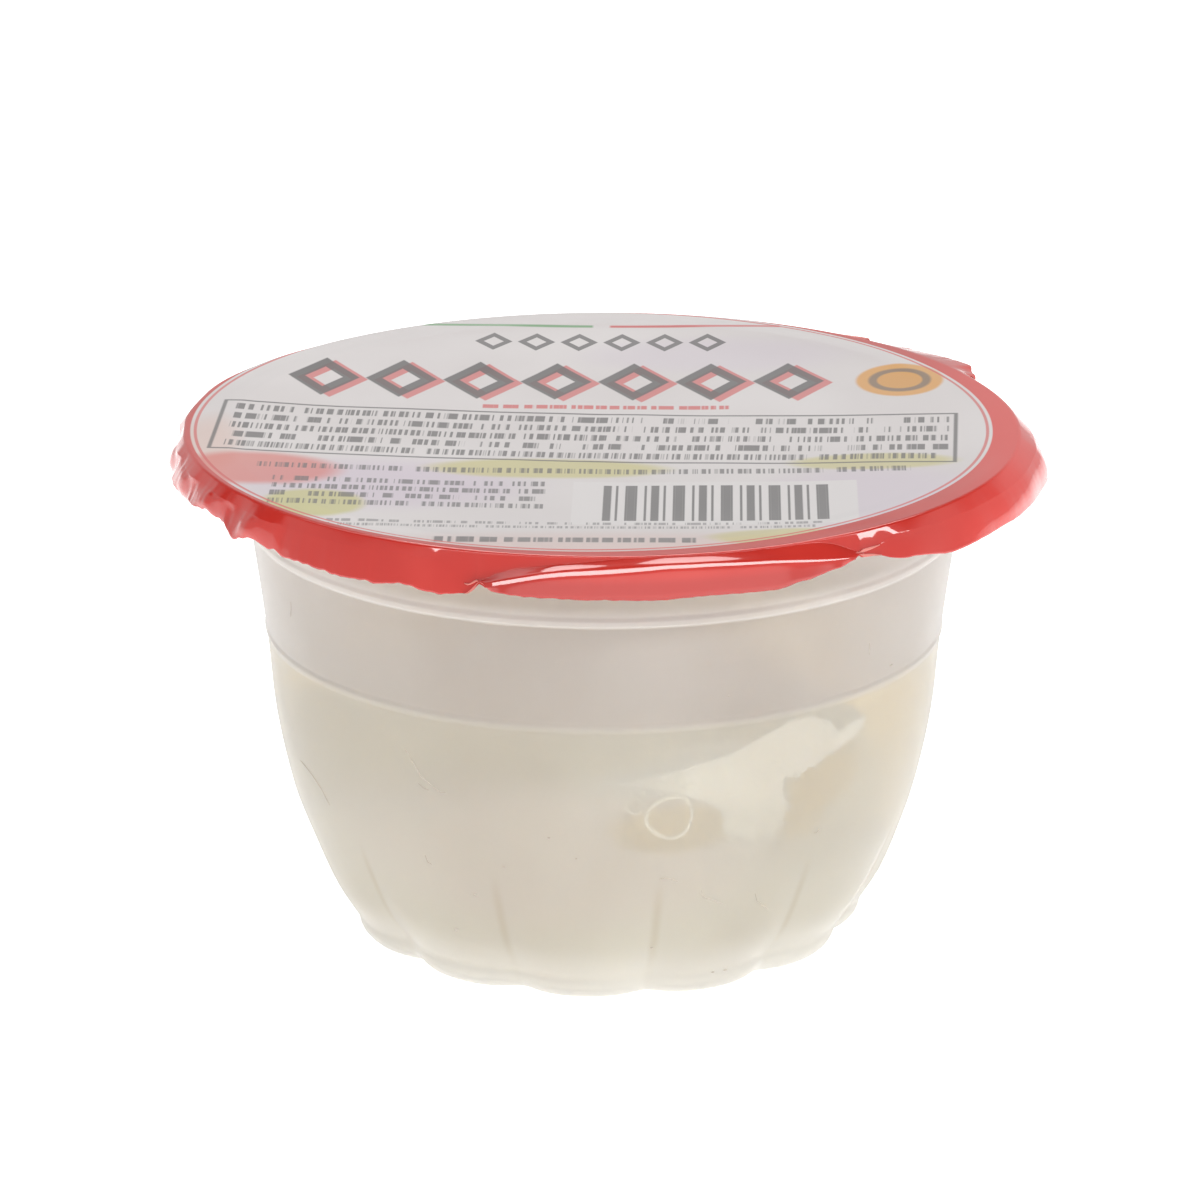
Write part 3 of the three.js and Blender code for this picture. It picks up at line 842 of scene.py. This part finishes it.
def whey_material():
    """Cloudy whey: amber beside the cheese's fold, creamy at the fold's foot, with painted shade darkening it
    above the cheese's mass and towards the sides.
    """
    g = Graph("whey_straw")
    place, x, y, z = g.place()
    swirl = g.noise(place, 0.09, 3.0)
    colour = g.tone(swirl, (251, 243, 225), (253, 247, 232))
    turn = g.times(g.turn(x, y), 180 / math.pi)
    # Painted shade: the whey darkens above the cheese's mass.
    top_line = g.math("MINIMUM", g.plus(g.times(turn, 0.144), 28.5), 30.0)
    over = g.span(g.minus(z, top_line), -1.0, 3.0)
    colour = g.mix(g.times(over, 0.6), colour, rgb(236, 224, 198))
    # Painted shade: the whey darkens towards the sides.
    side = g.span(g.math("ABSOLUTE", turn), 55.0, 80.0)
    colour = g.mix(g.times(side, 0.8), colour, rgb(236, 229, 209))
    for middle, level, wide, tall, tone, strength in WHEY_PATCHES:
        reach = g.reach(turn, z, (middle, level), (wide, tall))
        colour = g.mix(g.times(g.span(reach, 0.4, 1.5, 1, 0), strength), colour, rgb(*tone))
    rough = g.span(swirl, 0.3, 0.7, 0.1, 0.14)
    g.finish(g.node("ShaderNodeVolumeAbsorption", Color=(1.0, 0.86, 0.30, 1), Density=40.0), "Volume")
    return g.shader(Base_Color=colour, Roughness=rough, IOR=1.12, Transmission_Weight=0.55)


def cheese_material():
    """Cream-white curd with fine pulled fibres, and painted shade at the foot of its fold."""
    g = Graph("burrata_curd")
    place, x, _, z = g.place()
    fibre = g.noise(g.stretched(place, (1.4, 1.4, 0.35)), 0.9, 4.0, 0.6)
    colour = g.tone(g.noise(place, 0.11, 4.0), (231, 224, 212), (236, 230, 220), 0.3, 0.7)
    colour = g.mix(g.span(fibre, 0.35, 0.6, 0.3, 0.0), colour, rgb(224, 215, 196))
    # Painted shade: the curd darkens at the foot of its fold.
    painted_shade_low_fold = g.times(g.span(x, 9.0, 14.0), g.span(z, 22.0, 28.0, 0.9, 0.0))
    return g.shader(
        Base_Color=g.mix(painted_shade_low_fold, colour, rgb(216, 208, 192)), Roughness=g.span(fibre, 0.3, 0.7, 0.3, 0.45),
        IOR=1.38, Subsurface_Weight=0.25, Subsurface_Scale=0.002, Subsurface_Radius=(1.0, 0.8, 0.55),
        Normal=g.bump(fibre, 0.35, 0.3),
    )


class Print:
    """The film's print, drawn as masks over plain millimetre coordinates."""

    def __init__(self, graph, x, y, turn=0.0):
        self.g = g = graph
        cosine, sine = math.cos(turn), math.sin(turn)
        self.u = g.plus(g.times(x, cosine), g.times(y, sine))
        self.v = g.minus(g.times(y, cosine), g.times(x, sine))

    def within(self, value, low, high, soft=0.12):
        """Mask of a band between two values."""
        g = self.g
        away = g.math("ABSOLUTE", g.minus(value, (low + high) / 2))
        half = (high - low) / 2
        return g.span(away, half - soft, half + soft, 1.0, 0.0)

    def block(self, low, high, soft=0.12):
        """Mask of a rectangle between two corners."""
        across = self.within(self.u, low[0], high[0], soft)
        return self.g.times(across, self.within(self.v, low[1], high[1], soft))

    def outline(self, low, high, thickness):
        inner_low = (low[0] + thickness, low[1] + thickness)
        inner_high = (high[0] - thickness, high[1] - thickness)
        return self.g.minus(self.block(low, high), self.block(inner_low, inner_high))

    def oval(self, centre, half, soft=0.15):
        return self.g.span(self.g.reach(self.u, self.v, centre, half), 1 - soft, 1 + soft, 1.0, 0.0)

    def dashes(self, low, high, rows, dash, share=0.5, fill=0.62):
        """Rows of short grey dashes, as small print looks from afar, that spell nothing."""
        g = self.g
        pitch = (high[1] - low[1]) / rows
        level = g.ratio(g.minus(self.v, low[1]), pitch)
        row = g.math("FLOOR", level)
        part = g.minus(level, row)
        in_row = self.within(part, 0.5 - fill / 2, 0.5 + fill / 2, 0.06)
        spot = g.node("ShaderNodeCombineXYZ", X=g.ratio(self.u, dash), Y=g.times(row, 7.31)).outputs[0]
        words = g.noise(spot, 0.22, 0.0)
        marks = g.noise(spot, 1.7, 1.0)
        fine = g.times(g.span(words, 0.30, 0.33), g.span(marks, share - 0.05, share + 0.05))
        return g.times(g.times(in_row, fine), self.block(low, high))

    def stripes(self, low, high, pitch):
        """Upright stripes in a plain repeating rhythm."""
        g = self.g
        turn = g.ratio(self.u, pitch)
        wide = g.math("FRACT", g.plus(turn, 100.0))
        thin = g.math("FRACT", g.plus(g.times(turn, 2.5), 100.0))
        bars = g.math("MAXIMUM", self.within(wide, 0.13, 0.47, 0.03), self.within(thin, 0.62, 0.88, 0.05))
        return g.times(bars, self.block(low, high))

    def lozenges(self, low, high, pitch, size):
        """Row of lozenges side by side."""
        g = self.g
        middle = (low[1] + high[1]) / 2
        half = (high[1] - low[1]) / 2
        turn = g.ratio(g.minus(self.u, low[0]), pitch)
        part = g.minus(g.math("FRACT", g.plus(turn, 10.0)), 0.5)
        across = g.ratio(g.math("ABSOLUTE", part), size)
        along = g.ratio(g.math("ABSOLUTE", g.minus(self.v, middle)), half)
        reach = g.plus(across, along)
        shape = g.times(g.span(reach, 0.96, 1.04, 1.0, 0.0), g.span(reach, 0.50, 0.56))
        return g.times(shape, self.block(low, high, 0.02))


PRINT_CENTRE = (-1.4, 1.0)
PRINT_RADII = (44.6, 45.6)
ROW_CORNERS = ((-37, 13.2), (25.3, 27))
INK = rgb(78, 74, 74)
RED_INK = rgb(212, 52, 48)


# Soft colour ovals on the film's field: centre, half sizes, softness, colour, strength. Two pinkish ones, at
# (2, -43) and (-44, -7), darken the field towards the rim at the front and the left.
PRINT_OVALS = (
    ((-24, -20), (15, 9), 0.8, (214, 198, 214), 0.7), ((30, -24), (12, 11), 0.8, (216, 202, 216), 0.6),
    ((12, 30), (14, 6), 0.8, (216, 204, 216), 0.45), ((2, -43), (24, 5), 0.9, (222, 190, 182), 0.6),
    ((-6, -13), (13, 3.6), 0.35, (206, 196, 112), 0.75), ((30, -11), (9, 3), 0.35, (206, 196, 112), 0.7),
    ((-31, -28), (5.5, 5), 0.3, (202, 196, 100), 0.75), ((21, -39.5), (9, 3), 0.35, (206, 194, 110), 0.7),
    ((-44, -7), (3.5, 10), 0.9, (226, 190, 176), 0.6), ((-38, -15.5), (9, 6), 0.4, (222, 96, 78), 0.75),
    ((33.6, 19.6), (5, 6), 0.12, (226, 160, 64), 0.95),
    ((33.6, 19.6), (3.6, 4.3), 0.14, (104, 92, 82), 0.8),
    ((33.6, 19.6), (2.6, 3.1), 0.14, (226, 160, 64), 0.9),
)


def print_patches(flat):
    """Soft colour patches: mask, colour, strength."""
    patches = [(flat.oval(*spot), rgb(*tone), strength) for *spot, tone, strength in PRINT_OVALS]
    return patches + [(flat.block((-3, -34.5), (28, -18)), rgb(229, 224, 223), 0.95)]


def print_marks(flat, boxed, shifted):
    """Generic marks over the patches: mask, colour, strength."""
    return [
        (shifted.lozenges(*ROW_CORNERS, 8.9, 0.46), RED_INK, 0.75),
        (flat.lozenges(*ROW_CORNERS, 8.9, 0.46), INK, 0.92),
        (boxed.outline((-43.6, -10.4), (39.6, 8.1), 0.45), INK, 0.85),
        (boxed.dashes((-42, -9.6), (38.6, 7.4), 5, 0.8), INK, 0.85),
        (flat.dashes((-38, -15.4), (34, -12.4), 1, 0.85), INK, 0.8),
        (flat.dashes((-36, -29), (-6, -17.5), 4, 0.8), INK, 0.8),
        (flat.dashes((-32, -36.4), (24, -33.4), 2, 0.5), INK, 0.6),
        (flat.dashes((-18, -42.4), (10.5, -39.2), 1, 1.4, 0.46), INK, 0.85),
        (flat.stripes((0, -33), (25.2, -19.4), 2.6), INK, 0.9),
        (flat.dashes((-14, 9.4), (14, 11.6), 1, 1.3, 0.45), RED_INK, 0.8),
        (flat.lozenges((-16, 31.5), (14, 38), 5.0, 0.44), INK, 0.85),
        (flat.block((-22, 40.4), (-2, 41.2), 0.2), rgb(92, 160, 96), 0.8),
        (flat.block((0, 40.4), (20, 41.2), 0.2), RED_INK, 0.8),
    ]


def border_red_painted_light(g, place, x, y, z):
    """Red of the border, with painted light brightening it at the right and painted shade deepening it under
    the front crease.
    """
    red = g.tone(g.noise(place, 0.12, 2.0), (200, 43, 33), (206, 51, 41), 0.3, 0.7)
    # Painted light: the red brightens towards the right.
    red = g.mix(g.span(x, 34.0, 46.0), red, rgb(228, 54, 42))
    # Painted shade: the red deepens under the front crease's ridge.
    in_crease = g.times(g.span(x, -16.0, -11.0), g.span(x, 23.0, 28.0, 1.0, 0.0))
    in_crease = g.times(in_crease, g.span(y, -36.0, -32.0, 1.0, 0.0))
    painted_shade_under_ridge = g.times(in_crease, g.span(z, 55.0, 56.2, 1.0, 0.0))
    return g.mix(g.times(painted_shade_under_ridge, 0.9), red, rgb(186, 39, 30))


def film_material():
    """Glossy printed film: pale field with patches and marks that spell nothing, and a red border."""
    g = Graph("printed_film")
    place, x, y, z = g.place()
    flat = Print(g, x, y, math.radians(-1.0))
    boxed = Print(g, x, y, math.radians(-3.2))
    shifted = Print(g, g.minus(x, 1.0), g.plus(y, 0.7), math.radians(-1.0))
    soft = g.noise(place, 0.05, 2.0)
    colour = g.tone(soft, (222, 215, 214), (228, 222, 221), 0.3, 0.7)
    for mask, tone, strength in print_patches(flat) + print_marks(flat, boxed, shifted):
        colour = g.mix(g.times(mask, strength), colour, tone)
    reach = g.math("SQRT", g.reach(x, y, PRINT_CENTRE, PRINT_RADII))
    thin = g.times(g.span(reach, 0.990, 0.993), g.span(reach, 0.998, 1.001, 1.0, 0.0))
    colour = g.mix(g.times(thin, 0.8), colour, rgb(214, 70, 66))
    colour = g.mix(g.span(reach, 1.006, 1.010), colour, border_red_painted_light(g, place, x, y, z))
    return g.shader(
        Base_Color=colour, Roughness=g.span(soft, 0.3, 0.7, 0.30, 0.36), IOR=1.4, Specular_IOR_Level=0.25,
        Coat_Weight=1.0, Coat_Roughness=0.04, Coat_IOR=1.65,
        Normal=g.bump(g.noise(place, 0.16, 3.0), 0.06, 0.2),
    )


def film_back_material():
    """Unprinted side of the film, the red of the border showing faintly through."""
    g = Graph("film_underside")
    place, x, y, _ = g.place()
    radius = g.math("SQRT", g.plus(g.times(x, x), g.times(y, y)))
    cloud = g.noise(place, 0.15, 3.0)
    white = g.tone(cloud, (226, 217, 212), (232, 224, 219), 0.3, 0.7)
    colour = g.mix(g.span(radius, 44.8, 45.6), white, rgb(228, 130, 120))
    return g.shader(Base_Color=colour, Roughness=g.span(cloud, 0.3, 0.7, 0.3, 0.4), IOR=1.5)


def floor_material():
    """Pale lit sweep."""
    g = Graph("pale_floor")
    cloud = g.noise(g.place()[0], 0.002, 2.0)
    colour = g.mix(g.span(cloud, 0.3, 0.7), (0.86, 0.86, 0.86, 1), (0.88, 0.88, 0.88, 1))
    return g.shader(Base_Color=colour, Roughness=0.9, Emission_Color=(1, 1, 1, 1), Emission_Strength=0.78)


# ---- Stage ----

FLOOR_SIZE = 6000.0
FLOOR_DROP = 0.4  # just under the foot


def make_floor():
    corners = ((-1, -1), (1, -1), (1, 1), (-1, 1))
    vertices = [(x * FLOOR_SIZE, y * FLOOR_SIZE, 0) for x, y in corners]
    floor = new_object("floor", vertices, [(0, 1, 2, 3)], floor_material())
    floor.location.z = -FLOOR_DROP * MM


# Upward direction over which the surround darkens, and its strengths.
WORLD_RAMP = {"From_Min": 0.34, "From_Max": 0.50, "To_Min": 0.55, "To_Max": 0.06}


def make_world():
    """White surround, dark overhead."""
    g = Graph("studio", "World")
    place = g.node("ShaderNodeTexCoord").outputs["Generated"]
    upward = g.node("ShaderNodeSeparateXYZ", Vector=place).outputs[2]
    strength = g.node("ShaderNodeMapRange", Value=upward, **WORLD_RAMP).outputs[0]
    light = g.node("ShaderNodeBackground", Color=(1.0, 0.995, 0.985, 1), Strength=strength)
    bpy.context.scene.world = g.finish(light)


def aimed(name, data, place, aim):
    """Light or camera at a place, turned to look at its aim."""
    item = bpy.data.objects.new(name, data)
    item.location = place
    item.rotation_euler = (Vector(aim) - Vector(place)).to_track_quat("-Z", "Y").to_euler()
    bpy.context.scene.collection.objects.link(item)
    return item


# Name, place, aim and size in metres, power in watts.
LIGHTS = (
    ("front_strip", (0.3, -0.85, 0.78), (0, 0, 0.05), (4.0, 0.12), 15.5),
    ("top_box", (0.05, 0.33, 0.6), (0, 0, 0.05), (0.45, 0.35), 2.4),
    ("left_box", (-0.13, 0.03, 0.27), (-0.02, 0, 0.05), (0.14, 0.14), 0.08),
)


def area_light(name, place, aim, size, power):
    data = bpy.data.lights.new(name, "AREA")
    data.shape = "RECTANGLE"
    data.size, data.size_y = size
    data.energy = power
    aimed(name, data, place, aim)


CAMERA_DISTANCE = 0.76
CAMERA_ELEVATION = math.radians(17.8)
CAMERA_LENS = 202.5  # on a 36 mm sensor
PIXEL = CAMERA_DISTANCE / 6750
AIM_PIXELS = (-3.9, -85.5)  # from the bead ring's centre, right and up


def make_camera():
    centre = Vector((0, 0, BEAD_HEIGHT * MM))
    up = Vector((0, math.sin(CAMERA_ELEVATION), math.cos(CAMERA_ELEVATION)))
    place = centre + Vector((0, -math.cos(CAMERA_ELEVATION), math.sin(CAMERA_ELEVATION))) * CAMERA_DISTANCE
    aim = centre + Vector((1, 0, 0)) * AIM_PIXELS[0] * PIXEL + up * AIM_PIXELS[1] * PIXEL
    data = bpy.data.cameras.new("camera")
    data.lens = CAMERA_LENS
    data.sensor_width = 36.0
    data.clip_start = 0.01
    data.clip_end = 50.0
    bpy.context.scene.camera = aimed("camera", data, place, aim)


# ---- Build ----

make_camera()
make_world()
make_floor()
for row in LIGHTS:
    area_light(*row)

outside = plastic_material()
# The cup's inner face is as frosted as the outside, and cleared where whey fills its frosting. Its greyer
# tone above the whey is painted shade from the lid.
dry_inside = mottled_material(
    "frosted_plastic_dry_inside", 0.07, 4.0, ((246, 242, 238), (249, 245, 241)), (0.31, 0.34),
    IOR=1.4, Transmission_Weight=0.68,
)
wet_inside = mottled_material(
    "frosted_plastic_wet_inside", 0.07, 4.0, ((252, 251, 248), (254, 253, 251)), (0.10, 0.14),
    IOR=1.14, Transmission_Weight=1.0,
)
lint = mottled_material("dark_lint", 0.9, 2.0, ((204, 195, 184), (222, 214, 204)), (0.6, 0.8))
foam = mottled_material("bubble_foam", 0.8, 2.0, ((239, 231, 214), (243, 236, 220)), (0.4, 0.5))

pieces = [
    (make_cup(outside, dry_inside, wet_inside), "cup", "cup_plastic"),
    (make_whey(whey_material()), "whey", "whey"),
    (make_cheese(cheese_material()), "burrata", "cheese"),
    (make_film(film_material(), film_back_material()), "lid_film", "printed_film"),
]
for piece, node, slot in pieces:
    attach(piece, "root")
    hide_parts(node)

extras = [(make_fibres(lint), "cup_plastic"), (make_bubble_rings(foam), "cheese")]
for piece, slot in extras:
    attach(piece, "root")

scene = bpy.context.scene
scene.view_settings.view_transform = "Standard"
scene.cycles.max_bounces = 16
scene.cycles.transmission_bounces = 12
scene.cycles.diffuse_bounces = 6
scene.cycles.glossy_bounces = 6
